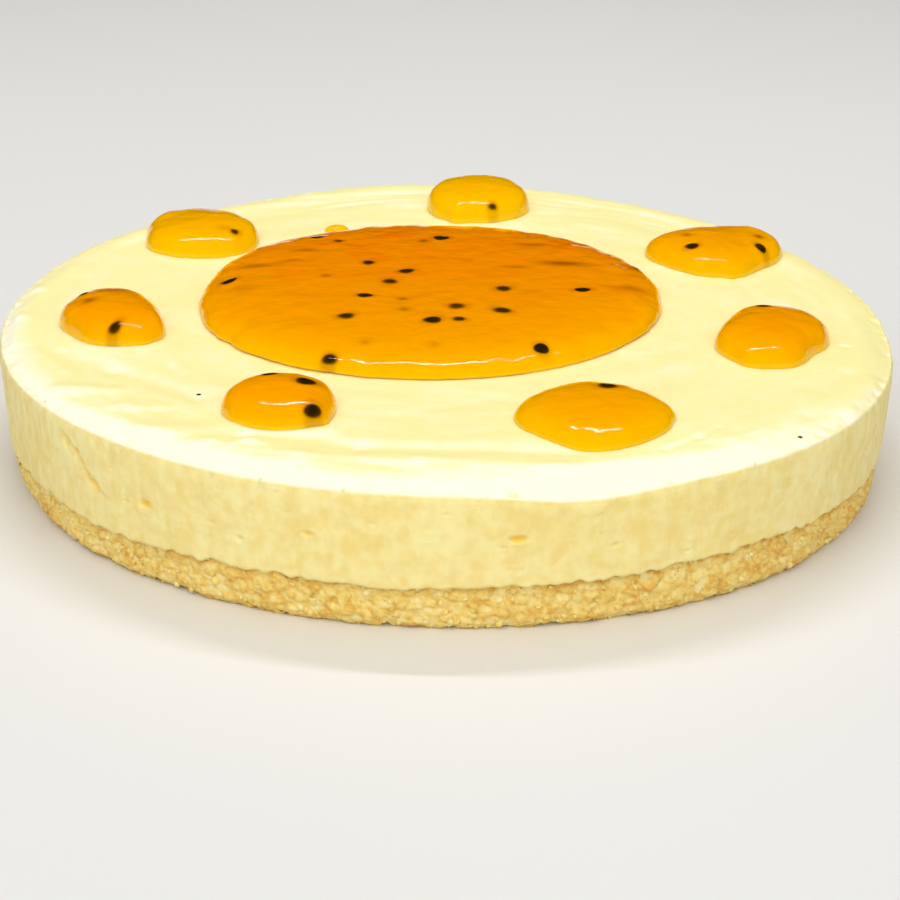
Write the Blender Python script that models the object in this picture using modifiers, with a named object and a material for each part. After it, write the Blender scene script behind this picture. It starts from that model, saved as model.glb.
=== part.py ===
"""A round cream cheesecake on a crumb base, set in a 23 cm tin and turned out.

Each piece is its own closed solid:
- crumb_base, the pressed biscuit crumbs that everything stands on
- cream_filling, the set cream, swept level with a palette knife, with a low lip at its rim
- jelly_pool, the large round of fruit jelly in the middle
- jelly_drop_1 to jelly_drop_7, the spoonfuls in a ring round the pool
- jelly_bead, the one stray bead that fell behind the pool

The origin is at the middle of the underside, +Z is up and -Y is the front.
"""

import math

import bmesh
import bpy
from mathutils import Vector, noise

MM = 0.001
GAP = 0.3 * MM

# The crumb base. Its wall, from the seam down to the worn foot, is at these shares of
# the lean from foot radius to full radius, and of the height.
BASE_HEIGHT = 12.0 * MM
BASE_FOOT_RADIUS = 113.2 * MM
BASE_RADIUS = 116.6 * MM
BASE_WALL = ((1.0, 1.0), (0.85, 0.55), (0.6, 0.18), (0.0, 0.0))
BASE_LUMP_DEPTH = 0.7 * MM
BASE_LUMP_SIZE = 9.0 * MM

# The filling leans out a little further, then turns in over a small crisp corner. Its
# top has rings at these insets from the rim, in millimetres, and its wall at these
# shares of its height.
FILLING_HEIGHT = 38.0 * MM
FILLING_FOOT_RADIUS = 117.4 * MM
FILLING_RADIUS = 118.8 * MM
CORNER = 1.0 * MM
CORNER_TURNS = (90, 45)
TOP_INSETS = (90, 70, 54, 42, 32, 25, 20, 16, 12.5, 9.5, 6.5, 3.5)
WALL_SHARES = (1.0, 0.7, 0.35, 0.0)

# Both are flat under and over the seam out to this share of their radius.
FLAT_SHARE = 0.8
SIDES = 96

# The cake has spread a little unevenly since the tin came off. These are in
# millimetres, at every 45 degrees against the clock from +X: how far the rim reaches,
# how much higher the top rises out to it than in the middle, how much of that is lost
# again where the top falls away to its corner, and how much higher the seam is than
# the middle of the base.
RIM_REACH = (115.6, 116.2, 120.8, 118.2, 117.4, 118.2, 120.2, 120.8)
RIM_RISE = (-1.6, 0.0, 1.4, 0.6, -0.2, -0.2, 0.2, -0.2)
RIM_FALL = (2.2, 1.4, 0.8, 1.6, 3.0, 3.6, 3.8, 4.2)
FALL_WIDTH = 14.0 * MM
FALL_POWER = 1.7
SEAM_RISE = (0.8, 0.0, 0.0, 0.0, -1.0, -1.2, -0.4, 1.0)
SEAM_WAVE = {"depth": 0.8, "waves": 5.0, "seed": 23.0}
BASE_SPREAD_SHARE = 0.8
LEVEL_RADIUS = 50.0 * MM

# The knife left a lip at the rim and a trough inside it, which come and go round the
# cake, and shallow swells between the trough and the middle. All in millimetres.
LIP = {"inset": 5.5, "width": 7.0, "rise": 0.8, "share": 0.6, "vary": 0.8, "waves": 2.0,
       "seed": 11.0}
TROUGH = {"inset": 16.0, "width": 10.0, "rise": -0.8, "share": 0.6, "vary": 0.9,
          "waves": 1.3, "seed": 17.0}
SWELL = {"depth": 0.35, "length": 22.0, "waves": 2.2}

# The jelly. Each outline has eight reaches from its middle, at every 45 degrees
# against the clock from +X. Middles, reaches and heights are in millimetres, and a
# higher squareness has a flatter top and a steeper edge.
POOL = {
    "at": (-4.8, 7.0), "height": 5.8, "squareness": 4.0,
    "reach": (61.6, 62.4, 61.4, 62.0, 61.2, 63.6, 62.0, 61.0),
}
DROPS = (
    # the front right spoonful first, then the others against the clock
    {"at": (34.8, -79.8), "height": 5.2, "squareness": 2.8,
     "reach": (18.6, 17.0, 18.6, 17.4, 19.8, 18.4, 20.4, 17.6)},
    {"at": (82.4, -22.1), "height": 6.2, "squareness": 3.0,
     "reach": (15.2, 19.4, 19.8, 13.6, 13.6, 19.2, 21.2, 13.8)},
    {"at": (76.0, 51.0), "height": 6.2, "squareness": 3.0,
     "reach": (18.6, 21.2, 17.2, 16.4, 20.6, 20.0, 21.8, 16.0)},
    {"at": (8.8, 96.4), "height": 7.2, "squareness": 3.2,
     "reach": (15.4, 16.0, 15.6, 15.6, 15.6, 17.6, 17.2, 16.6)},
    {"at": (-71.0, 60.0), "height": 6.2, "squareness": 3.0,
     "reach": (16.4, 16.4, 20.4, 19.0, 16.0, 18.0, 17.6, 18.0)},
    {"at": (-87.0, -14.6), "height": 6.4, "squareness": 3.0,
     "reach": (13.0, 13.4, 18.8, 17.2, 13.8, 12.4, 16.8, 19.0)},
    {"at": (-39.6, -73.8), "height": 6.0, "squareness": 2.8,
     "reach": (13.4, 14.0, 14.2, 13.6, 14.0, 14.2, 14.4, 15.2)},
)
BEAD = {
    "at": (-32.5, 69.6), "height": 1.8, "squareness": 2.2,
    "reach": (4.0, 3.2, 2.8, 3.2, 4.2, 3.2, 2.8, 3.4),
}
POOL_SIDES = 64
DROP_SIDES = 28
BEAD_SIDES = 12

# The half section of a spoonful, in shares of its reach and height: the rings of its
# dome, then the rings of its foot, which is tucked under a little.
DOME_RINGS = (0, 0.35, 0.65, 0.83, 0.93, 0.985)
FOOT_RINGS = ((1.0, 0.2), (0.985, 0.0), (0.7, 0.0), (0.35, 0.0), (0, 0.0))

# Colour and roughness.
CREAM = ((0.90, 0.80, 0.42, 1.0), 0.55)
CRUMB = ((0.72, 0.48, 0.19, 1.0), 0.9)
JELLY = ((0.93, 0.37, 0.01, 1.0), 0.08)

MERGE = 0.01 * MM
SHARP_ANGLE = 40


def round_noise(angle, waves, seed):
    """Smooth noise from -1 to 1 that closes on itself round the cake."""
    return noise.noise(Vector((waves * math.cos(angle), waves * math.sin(angle), seed)))


def closed_curve(values, angle):
    """The height at an angle of a smooth closed curve (Catmull and Rom's) through
    values that are evenly spaced round the circle, the first at +X."""
    count = len(values)
    place = (angle / (2 * math.pi) % 1.0) * count
    first = int(place)
    t = place - first
    before, start, end, after = (values[(first + step) % count] for step in (-1, 0, 1, 2))
    return 0.5 * (
        2 * start
        + (end - before) * t
        + (2 * before - 5 * start + 4 * end - after) * t**2
        + (3 * start - before - 3 * end + after) * t**3
    )


def spread(angle):
    """How far the rim stands out of the true circle at an angle."""
    return MM * closed_curve(RIM_REACH, angle) - FILLING_RADIUS


def band(knife_mark, radius, angle):
    """The height that a lip or trough adds at a radius inside the true circle."""
    middle = FILLING_RADIUS - MM * knife_mark["inset"]
    offset = min(abs(radius - middle) / (MM * knife_mark["width"]), 1)
    bell = (1 - offset**2) ** 2
    noisy = round_noise(angle, knife_mark["waves"], knife_mark["seed"])
    share = knife_mark["share"] + knife_mark["vary"] * noisy
    return MM * knife_mark["rise"] * share * bell


def top_height(x, y):
    """The height of the swept top at a point."""
    angle = math.atan2(y, x)
    radius = math.hypot(x, y) - spread(angle)
    outward = (radius - LEVEL_RADIUS) / (FILLING_RADIUS - LEVEL_RADIUS)
    outward = min(max(outward, 0), 1)
    rise = MM * closed_curve(RIM_RISE, angle) * outward**2
    downward = min(max(1 - (FILLING_RADIUS - radius) / FALL_WIDTH, 0), 1)
    fall = MM * closed_curve(RIM_FALL, angle) * downward**FALL_POWER
    along = radius / (MM * SWELL["length"])
    swell = MM * SWELL["depth"] * round_noise(angle, SWELL["waves"], along)
    return (
        FILLING_HEIGHT
        + rise
        - fall
        + swell * min(2 * outward, 1)
        + band(LIP, radius, angle)
        + band(TROUGH, radius, angle)
    )


def seam_shift(angle):
    """How much higher than the base the seam is where it shows at the side."""
    wave = round_noise(angle, SEAM_WAVE["waves"], SEAM_WAVE["seed"])
    return MM * (closed_curve(SEAM_RISE, angle) + SEAM_WAVE["depth"] * wave)


def turned(section, sides):
    """A bmesh turned about the axis. The half section is (radius, height) pairs that
    start on the axis at the top, run down the outer side and end on the axis."""
    line = bpy.data.meshes.new("section")
    line.from_pydata(
        [(radius, 0, height) for radius, height in section],
        [(step, step + 1) for step in range(len(section) - 1)],
        [],
    )
    guide = bpy.data.objects.new("section", line)
    bpy.context.scene.collection.objects.link(guide)
    screw = guide.modifiers.new("turn", "SCREW")
    screw.steps = sides
    screw.render_steps = sides
    screw.use_merge_vertices = True
    screw.merge_threshold = MERGE
    mesh = bmesh.new()
    mesh.from_object(guide, bpy.context.evaluated_depsgraph_get())
    bmesh.ops.remove_doubles(mesh, verts=mesh.verts, dist=MERGE)
    bpy.data.objects.remove(guide)
    bpy.data.meshes.remove(line)
    return mesh


def finish(mesh, name, look, collection):
    """Turns the bmesh into a named object with its own material."""
    bmesh.ops.triangulate(mesh, faces=mesh.faces)
    data = bpy.data.meshes.new(name)
    mesh.to_mesh(data)
    mesh.free()
    data.shade_smooth()
    data.set_sharp_from_angle(angle=math.radians(SHARP_ANGLE))
    colour, roughness = look
    material = bpy.data.materials.new(name)
    material.use_nodes = True
    shader = material.node_tree.nodes["Principled BSDF"]
    shader.inputs["Base Color"].default_value = colour
    shader.inputs["Roughness"].default_value = roughness
    shader.inputs["Metallic"].default_value = 0.0
    data.materials.append(material)
    collection.objects.link(bpy.data.objects.new(name, data))


def make_base(collection):
    """The pressed crumbs: a flat underside, a worn foot, a lumpy wall and a wavy seam."""
    lean = BASE_RADIUS - BASE_FOOT_RADIUS
    wall = [
        (BASE_FOOT_RADIUS + lean * out, BASE_HEIGHT * up) for out, up in BASE_WALL
    ]
    top = [(0, BASE_HEIGHT), (FLAT_SHARE * BASE_RADIUS, BASE_HEIGHT)]
    underside = [(FLAT_SHARE * BASE_FOOT_RADIUS, 0), (0, 0)]
    mesh = turned(top + wall + underside, SIDES)
    for point in mesh.verts:
        radius = math.hypot(point.co.x, point.co.y)
        if radius > BASE_FOOT_RADIUS - MERGE:
            angle = math.atan2(point.co.y, point.co.x)
            lump = BASE_LUMP_DEPTH * noise.noise(point.co / BASE_LUMP_SIZE)
            radius += lump + BASE_SPREAD_SHARE * spread(angle)
            height = point.co.z * (1 + seam_shift(angle) / BASE_HEIGHT)
            point.co = (radius * math.cos(angle), radius * math.sin(angle), height)
    finish(mesh, "crumb_base", CRUMB, collection)


def make_filling(collection):
    """The set cream: its side follows the tin and its top is swept by a palette knife."""
    foot = BASE_HEIGHT + GAP
    side_top = FILLING_HEIGHT - CORNER
    corner_middle = FILLING_RADIUS - CORNER
    lean = FILLING_RADIUS - FILLING_FOOT_RADIUS
    top = [(FILLING_RADIUS - MM * inset, FILLING_HEIGHT) for inset in TOP_INSETS]
    turns = [math.radians(turn) for turn in CORNER_TURNS]
    corner = [
        (corner_middle + CORNER * math.cos(turn), side_top + CORNER * math.sin(turn))
        for turn in turns
    ]
    wall = [
        (FILLING_FOOT_RADIUS + lean * up, foot + (side_top - foot) * up)
        for up in WALL_SHARES
    ]
    underside = [(FLAT_SHARE * FILLING_FOOT_RADIUS, foot), (0, foot)]
    mesh = turned([(0, FILLING_HEIGHT)] + top + corner + wall + underside, SIDES)
    for point in mesh.verts:
        angle = math.atan2(point.co.y, point.co.x)
        radius = math.hypot(point.co.x, point.co.y)
        height = point.co.z
        outward = min(radius / FILLING_FOOT_RADIUS, 1)
        radius += spread(angle) * outward**4
        x = radius * math.cos(angle)
        y = radius * math.sin(angle)
        up = (height - foot) / (FILLING_HEIGHT - foot)
        if up > 0:
            height += min(up / WALL_SHARES[1], 1) * (top_height(x, y) - FILLING_HEIGHT)
        past_flat = max((outward - FLAT_SHARE) / (1 - FLAT_SHARE), 0)
        height += (1 - up) * past_flat * seam_shift(angle)
        point.co = (x, y, height)
    finish(mesh, "cream_filling", CREAM, collection)


def make_jelly(blob, name, sides, collection):
    """A spoonful of set jelly that lies on the swept cream."""
    power = blob["squareness"]
    dome = [(ring, (1 - ring**power) ** (1 / power)) for ring in DOME_RINGS]
    mesh = turned(dome + list(FOOT_RINGS), sides)
    middle_x, middle_y = blob["at"]
    for point in mesh.verts:
        angle = math.atan2(point.co.y, point.co.x)
        share = math.hypot(point.co.x, point.co.y)
        radius = share * closed_curve(blob["reach"], angle)
        x = MM * (middle_x + radius * math.cos(angle))
        y = MM * (middle_y + radius * math.sin(angle))
        height = top_height(x, y) + GAP + MM * blob["height"] * point.co.z
        point.co = (x, y, height)
    finish(mesh, name, JELLY, collection)


def main():
    for old in list(bpy.data.objects):
        bpy.data.objects.remove(old)
    collection = bpy.data.collections.new("cheesecake")
    bpy.context.scene.collection.children.link(collection)
    make_base(collection)
    make_filling(collection)
    make_jelly(POOL, "jelly_pool", POOL_SIDES, collection)
    for number, drop in enumerate(DROPS, start=1):
        make_jelly(drop, f"jelly_drop_{number}", DROP_SIDES, collection)
    make_jelly(BEAD, "jelly_bead", BEAD_SIDES, collection)


main()
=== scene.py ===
"""A round cream cheesecake on a crumb base, with spoonfuls of set fruit jelly on top."""

import math
import random

import bmesh
import bpy
from mathutils import Matrix, Vector, kdtree, noise
from mathutils.bvhtree import BVHTree


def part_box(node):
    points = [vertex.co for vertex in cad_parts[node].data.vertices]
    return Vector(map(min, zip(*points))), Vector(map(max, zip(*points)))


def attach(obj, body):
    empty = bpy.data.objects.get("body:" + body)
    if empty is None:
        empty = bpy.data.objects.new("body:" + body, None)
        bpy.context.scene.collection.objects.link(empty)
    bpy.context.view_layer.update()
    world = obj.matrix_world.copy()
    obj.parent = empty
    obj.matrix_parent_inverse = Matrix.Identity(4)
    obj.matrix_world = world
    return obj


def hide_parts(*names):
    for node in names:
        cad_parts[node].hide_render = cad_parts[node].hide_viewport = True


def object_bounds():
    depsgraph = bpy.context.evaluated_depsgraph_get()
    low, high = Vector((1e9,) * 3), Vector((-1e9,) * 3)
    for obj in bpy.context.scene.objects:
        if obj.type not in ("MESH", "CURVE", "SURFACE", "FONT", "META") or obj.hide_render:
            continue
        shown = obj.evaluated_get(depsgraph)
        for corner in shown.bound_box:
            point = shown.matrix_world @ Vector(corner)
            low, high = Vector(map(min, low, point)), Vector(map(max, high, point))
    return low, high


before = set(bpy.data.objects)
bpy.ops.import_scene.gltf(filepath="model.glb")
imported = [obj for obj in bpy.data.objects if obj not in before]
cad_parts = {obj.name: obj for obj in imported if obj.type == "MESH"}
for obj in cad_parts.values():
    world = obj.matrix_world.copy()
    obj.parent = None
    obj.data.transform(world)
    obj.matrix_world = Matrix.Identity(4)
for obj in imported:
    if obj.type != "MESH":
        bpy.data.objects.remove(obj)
cad_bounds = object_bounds()


# THE VIEW. A long lens looks down on the front of the cake from a little above it.
# Nothing is shifted and nothing is out of focus.
scene = bpy.context.scene
scene.view_settings.view_transform = "Standard"
lens = bpy.data.cameras.new("camera")
lens.lens = 97.02
lens.sensor_width = 36.0
lens.clip_start = 0.01
camera_place = (0.0, -0.6096, 0.2422)
camera_heading, camera_roll = -0.0012, 0.0095
degrees_down = 21.84
camera = bpy.data.objects.new("camera", lens)
camera.matrix_world = (
    Matrix.Translation(camera_place)
    @ Matrix.Rotation(camera_heading, 4, "Z")
    @ Matrix.Rotation(math.radians(90 - degrees_down), 4, "X")
    @ Matrix.Rotation(camera_roll, 4, "Z")
)
scene.collection.objects.link(camera)
scene.camera = camera


# THE STUDIO. A thin soft strip hangs over the cake and a broad soft light stands behind
# the camera. Only the strip shows in wet surfaces, so that the jelly stays deep in
# colour.
class Shade:
    """One socket of a shader. Arithmetic on it adds Math nodes."""

    def __init__(self, tree, socket=None):
        self.tree = tree
        self.socket = socket

    def node(self, kind, settings, inputs, output=0):
        """Any node: its settings are made first, then its sockets get their values or
        links, by name or by number."""
        made = self.tree.nodes.new("ShaderNode" + kind)
        for key, value in settings.items():
            if key == "stops":
                ramp = made.color_ramp
                while len(ramp.elements) < len(value):
                    ramp.elements.new(1.0)
                for element, (place, colour) in zip(ramp.elements, value):
                    element.position = place
                    element.color = colour
            else:
                setattr(made, key, value)
        for key, value in inputs.items():
            if isinstance(value, Shade):
                self.tree.links.new(value.socket, made.inputs[key])
            else:
                made.inputs[key].default_value = value
        return Shade(self.tree, made.outputs[output])

    def maths(self, operation, first, second):
        return self.node("Math", {"operation": operation}, {0: first, 1: second})

    def __add__(self, other):
        return self.maths("ADD", self, other)

    def __radd__(self, other):
        return self.maths("ADD", other, self)

    def __sub__(self, other):
        return self.maths("SUBTRACT", self, other)

    def __rsub__(self, other):
        return self.maths("SUBTRACT", other, self)

    def __mul__(self, other):
        return self.maths("MULTIPLY", self, other)

    def __rmul__(self, other):
        return self.maths("MULTIPLY", other, self)

    def between(self, low, high):
        """0 up to low, 1 from high on, and smooth in between."""
        settings = {"interpolation_type": "SMOOTHSTEP"}
        return self.node(
            "MapRange", settings, {"Value": self, "From Min": low, "From Max": high}
        )

    def blend(self, start, end):
        """The colour from start to end at this share of the way."""
        return self.node(
            "Mix", {"data_type": "RGBA"}, {0: self, 6: start, 7: end}, output=2
        )


# The walls glow a little all round, more overhead and more on the camera's side.
room = bpy.data.worlds.new("studio")
room.use_nodes = True
scene.world = room
air = Shade(room.node_tree)
toward = air.node("TexCoord", {}, {}, output="Generated")
facing = air.node("SeparateXYZ", {}, {"Vector": toward}, output="Y")
upward = air.node("SeparateXYZ", {}, {"Vector": toward}, output="Z")
overhead = upward.between(0.5, 0.75)
front = (0 - facing).between(-0.4, 0.8)
glow = 0.13 + overhead * 0.42 + front * 0.36
background = room.node_tree.nodes["Background"]
room.node_tree.links.new(glow.socket, background.inputs["Strength"])
background.inputs["Color"].default_value = (1.0, 0.99, 0.97, 1.0)
room.cycles_visibility.glossy = False

for name, place, across, deep, watts in (
    ("strip_light", (0.02, 0.36, 0.95), 0.62, 0.03, 2.9),
    ("front_light", (-0.12, -1.2, 1.15), 2.6, 1.3, 17.6),
):
    lamp = bpy.data.lights.new(name, "AREA")
    lamp.shape = "RECTANGLE"
    lamp.size = across
    lamp.size_y = deep
    lamp.energy = watts
    light = bpy.data.objects.new(name, lamp)
    light.location = place
    aim = Vector((0.0, 0.0, 0.02)) - light.location
    light.rotation_euler = aim.to_track_quat("-Z", "Y").to_euler()
    light.visible_glossy = name == "strip_light"
    scene.collection.objects.link(light)


# THE FLOOR. A plain pale sheet that the cake stands on. It isn't part of the object.
def paint(red, green, blue):
    """A colour as a mixing chart gives it, from 0 to 255, for a shader."""
    def linear(value):
        share = value / 255
        return share / 12.92 if share < 0.04045 else ((share + 0.055) / 1.055) ** 2.4
    return (linear(red), linear(green), linear(blue), 1.0)


def new_finish(name):
    """A new material, and the start of its sums."""
    material = bpy.data.materials.new(name)
    material.use_nodes = True
    return material, Shade(material.node_tree)


def apply_finish(material, inputs):
    """Gives the material's shader its values and links."""
    shader = material.node_tree.nodes["Principled BSDF"]
    for key, value in inputs.items():
        if isinstance(value, Shade):
            material.node_tree.links.new(value.socket, shader.inputs[key])
        else:
            shader.inputs[key].default_value = value


def new_piece(mesh, name, material):
    """Turns a bmesh into a smooth-shaded object with its material."""
    data = bpy.data.meshes.new(name)
    mesh.to_mesh(data)
    mesh.free()
    data.shade_smooth()
    data.materials.append(material)
    piece = bpy.data.objects.new(name, data)
    scene.collection.objects.link(piece)
    return piece


floor_finish, sums = new_finish("pale_floor")
where = sums.node("TexCoord", {}, {}, output="Object")
cloud = sums.node("TexNoise", {}, {"Vector": where, "Scale": 3.0, "Detail": 2.0})
apply_finish(
    floor_finish,
    {
        "Base Color": cloud.blend(paint(229, 228, 225), paint(235, 234, 231)),
        "Roughness": 0.7,
    },
)
sheet = bmesh.new()
bmesh.ops.create_grid(sheet, x_segments=1, y_segments=1, size=4.0)
for corner in sheet.verts:
    corner.co.z = cad_bounds[0][2]
floor = new_piece(sheet, "floor", floor_finish)


# THE CRUMB BASE, its core. Crushed plain biscuits bound with butter and pressed into
# the tin: a close mosaic of flattened crumbs with fine grooves between them. Here and
# there it bulges up into the cream or has lost a crumb at its foot.
MM = 0.001
beyond = 0.2  # in metres, farther out than any part of the cake


def ease(low, high, value):
    """0 up to low, 1 from high on, and smooth in between."""
    share = min(max((value - low) / (high - low), 0.0), 1.0)
    return share * share * (3 - 2 * share)


def round_the_cake(angle, size, seed):
    """Noise from about -1 to 1 along the side, with waves of this size in mm."""
    turn = 117.0 / size
    return noise.noise(Vector((turn * math.cos(angle), turn * math.sin(angle), seed)))


def merged(node):
    """A copy of a CAD node's mesh with its triangles merged."""
    mesh = bmesh.new()
    mesh.from_mesh(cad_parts[node].data)
    bmesh.ops.remove_doubles(mesh, verts=mesh.verts, dist=0.01 * MM)
    return mesh


def skin_of(mesh):
    """What a bmesh's surface is asked for heights and reaches by."""
    return BVHTree.FromBMesh(mesh)


def reach(skin, angle, height):
    """How far a surface stands out from the axis at an angle and height."""
    outward = Vector((math.cos(angle), math.sin(angle), 0))
    start = outward * beyond
    start.z = height
    place = skin.ray_cast(start, -outward)[0]
    return math.hypot(place.x, place.y)


def level(skin, x, y):
    """How high a surface is at a point, seen from above."""
    return skin.ray_cast(Vector((x, y, beyond)), Vector((0, 0, -1)))[0].z


def turned(section, sectors, steps):
    """A mesh turned about the axis from (radius, height) pairs that start and end on
    the axis. One sector is spun in a few steps and set down all the way round."""
    mesh = bmesh.new()
    points = [mesh.verts.new((radius, 0, height)) for radius, height in section]
    for first, second in zip(points, points[1:]):
        mesh.edges.new((first, second))
    turn = 2 * math.pi / sectors
    bmesh.ops.spin(
        mesh,
        geom=mesh.verts[:] + mesh.edges[:],
        axis=(0, 0, 1),
        cent=(0, 0, 0),
        steps=steps,
        angle=turn,
    )
    sector = bpy.data.meshes.new("sector")
    mesh.to_mesh(sector)
    mesh.free()
    mesh = bmesh.new()
    for _ in range(sectors):
        mesh.from_mesh(sector)
        sector.transform(Matrix.Rotation(turn, 4, "Z"))
    bpy.data.meshes.remove(sector)
    bmesh.ops.remove_doubles(mesh, verts=mesh.verts, dist=0.01 * MM)
    bmesh.ops.recalc_face_normals(mesh, faces=mesh.faces)
    return mesh


def seam_wander(angle):
    """How far the seam strays from the CAD seam at an angle, as the crumbs push up into
    the cream."""
    slow = round_the_cake(angle, 9.0, 3.0)
    quick = round_the_cake(angle, 2.6, 8.0)
    push = ease(0.15, 0.6, round_the_cake(angle, 7.0, 21.0))
    return (0.45 * slow + 0.9 * quick + 0.8 * push) * MM


crumb_finish, sums = new_finish("biscuit_crumb")
where = sums.node("TexCoord", {}, {}, output="Object")
# Each crumb's own tone, with painted shade in the grooves and under the seam.
toasting = sums.node("Attribute", {"attribute_name": "toasting"}, {}, output="Fac")
buttery = sums.node("TexNoise", {}, {"Vector": where, "Scale": 110.0, "Detail": 3.0})
grain = sums.node("TexNoise", {}, {"Vector": where, "Scale": 900.0, "Detail": 4.0})
fleck = sums.node("TexNoise", {}, {"Vector": where, "Scale": 300.0, "Detail": 2.0})
shade = toasting * 0.66 + buttery * 0.26 + grain * 0.26 - 0.09
biscuit = sums.node(
    "ValToRGB",
    {
        "stops": (
            (0.10, paint(255, 243, 184)),
            (0.34, paint(252, 227, 146)),
            (0.58, paint(244, 210, 114)),
            (0.80, paint(228, 179, 82)),
            (1.00, paint(178, 114, 44)),
        )
    },
    {"Fac": shade},
)
biscuit = fleck.between(0.69, 0.76).blend(biscuit, paint(180, 112, 44))
grit = grain * 0.6 + fleck * 0.4
rough = sums.node("Bump", {}, {"Strength": 0.8, "Distance": 0.25 * MM, "Height": grit})
apply_finish(
    crumb_finish,
    {
        "Base Color": biscuit,
        "Roughness": 0.8 - buttery * 0.2,
        "Normal": rough,
        "Specular IOR Level": 0.3,
        "Subsurface Weight": 0.15,
        "Subsurface Radius": (1.0, 0.6, 0.25),
        "Subsurface Scale": 1.5 * MM,
    },
)

base_skin = skin_of(merged("crumb_base"))
base_middle = level(base_skin, 0, 0)
wall_radius = reach(base_skin, 0, 0.5 * base_middle)
shelf = 0.93 * wall_radius  # where the CAD seam's height is read, just inside the wall
base_rows = 26
section = [(radius, base_middle) for radius in (0.0, 0.5 * wall_radius, shelf)]
section += [
    (wall_radius, base_middle * (1 - row / base_rows)) for row in range(base_rows + 1)
]
section += [(radius, 0.0) for radius in (shelf, 0.5 * wall_radius, 0.0)]
core = turned(section, 60, 24)

# Each size of crumb: how large, how deep the grooves round it are, and how much some
# stand prouder than others, in millimetres. A lost crumb leaves a hollow.
pressed_sizes = ((3.6, 0.36, 0.3), (1.8, 0.26, 0.22))
lost_depth = 1.1
tone_and_shade_layer = core.verts.layers.float.new("toasting")
edges_at = {}
for point in core.verts:
    point[tone_and_shade_layer] = 0.5
    if math.hypot(point.co.x, point.co.y) < 0.97 * wall_radius:
        continue
    angle = math.atan2(point.co.y, point.co.x)
    key = round(angle, 4)
    cos, sin = math.cos(angle), math.sin(angle)
    if key not in edges_at:
        cad_seam = level(base_skin, shelf * cos, shelf * sin)
        lost = lost_depth * ease(0.1, 0.45, round_the_cake(angle, 4.0, 50.0)) * MM
        edges_at[key] = (cad_seam, cad_seam + seam_wander(angle), lost)
    cad_seam, seam, lost = edges_at[key]
    height = lost + (seam - lost) * point.co.z / base_middle
    radius = reach(base_skin, angle, min(max(height, 0.05 * MM), cad_seam - 0.3 * MM))
    place = Vector((radius * cos, radius * sin, height))
    proud = 0.5 * noise.noise(place / (7 * MM)) - 0.2
    tone_and_shade_sum = -0.1
    for size, groove, uneven in pressed_sizes:
        stretched = Vector((place.x, place.y, 1.25 * place.z)) / (size * MM)
        distances, middles = noise.voronoi(stretched)
        own = 0.5 + 0.5 * noise.cell(middles[0] * 19.7)
        crack = 1 - ease(0.0, 0.3, distances[1] - distances[0])
        proud += uneven * (2 * own - 1) - groove * crack
        # Each crumb has its own tone; the grooves between crumbs get painted shade.
        tone_and_shade_sum += 0.48 * own + 0.2 * crack
    # A band just under the seam gets painted shade.
    under_the_seam = math.exp(-(((seam - height) / (1.1 * MM)) ** 2))
    point[tone_and_shade_layer] = min(max(tone_and_shade_sum + 0.3 * under_the_seam, 0.0), 1.0)
    hole = ease(0.42, 0.6, noise.noise(place / (4.5 * MM) + Vector((9, 1, 4))))
    radius += (proud - lost_depth * hole) * MM
    point.co = (radius * cos, radius * sin, height)
crumb_core = new_piece(core, "crumb_core", crumb_finish)
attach(crumb_core, "root")
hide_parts("crumb_base")


# THE LOOSE CRUMBS on the side of the base. Bits of biscuit from dust to half a grain of
# rice, held by the butter, most of them sunk well into the core.
def gather(heap, batch):
    """Adds a small bmesh to a large one, which is much quicker than making its bits
    in the large one."""
    data = bpy.data.meshes.new("batch")
    batch.to_mesh(data)
    batch.free()
    heap.from_mesh(data)
    bpy.data.meshes.remove(data)


crumb_random = random.Random(5)
crumb_rows = 6
crumbs_in_row = 190
crumbs = bmesh.new()
for row in range(crumb_rows):
    batch = bmesh.new()
    tone_and_shade_layer = batch.verts.layers.float.new("toasting")
    for number in range(crumbs_in_row):
        angle = (number + crumb_random.uniform(-0.9, 0.9)) * 2 * math.pi / crumbs_in_row
        cos, sin = math.cos(angle), math.sin(angle)
        cad_seam = level(base_skin, shelf * cos, shelf * sin)
        share = (row + 0.5 + crumb_random.uniform(-0.7, 0.7)) / crumb_rows
        size = (0.6 + 1.0 * crumb_random.random() ** 2) * MM
        height = max(share * (cad_seam + seam_wander(angle)), 0.55 * size)
        sunk = size * crumb_random.uniform(0.35, 0.85) + 0.3 * MM
        out = reach(base_skin, angle, min(height, cad_seam - 0.5 * MM)) - sunk
        wide = size * crumb_random.uniform(0.6, 0.95)
        tall = size * crumb_random.uniform(0.45, 0.8)
        shape = Matrix.Diagonal((size, wide, tall, 1))
        turn = Vector([crumb_random.gauss(0, 1) for _ in range(3)]).normalized()
        spun = Matrix.Rotation(crumb_random.uniform(0, math.pi), 4, turn)
        place = Matrix.Translation((out * cos, out * sin, height))
        made = bmesh.ops.create_icosphere(
            batch, subdivisions=1, radius=1.0, matrix=place @ spun @ shape
        )
        colour = min(max(crumb_random.gauss(0.42, 0.17), 0.0), 1.0)
        middle = place.translation
        for corner in made["verts"]:
            corner.co = middle + (corner.co - middle) * crumb_random.uniform(0.75, 1.15)
            corner.co.z = max(corner.co.z, 0.05 * MM)
            corner[tone_and_shade_layer] = colour
    gather(crumbs, batch)
crumb_grains = new_piece(crumbs, "crumb_grains", crumb_finish)
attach(crumb_grains, "root")


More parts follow.
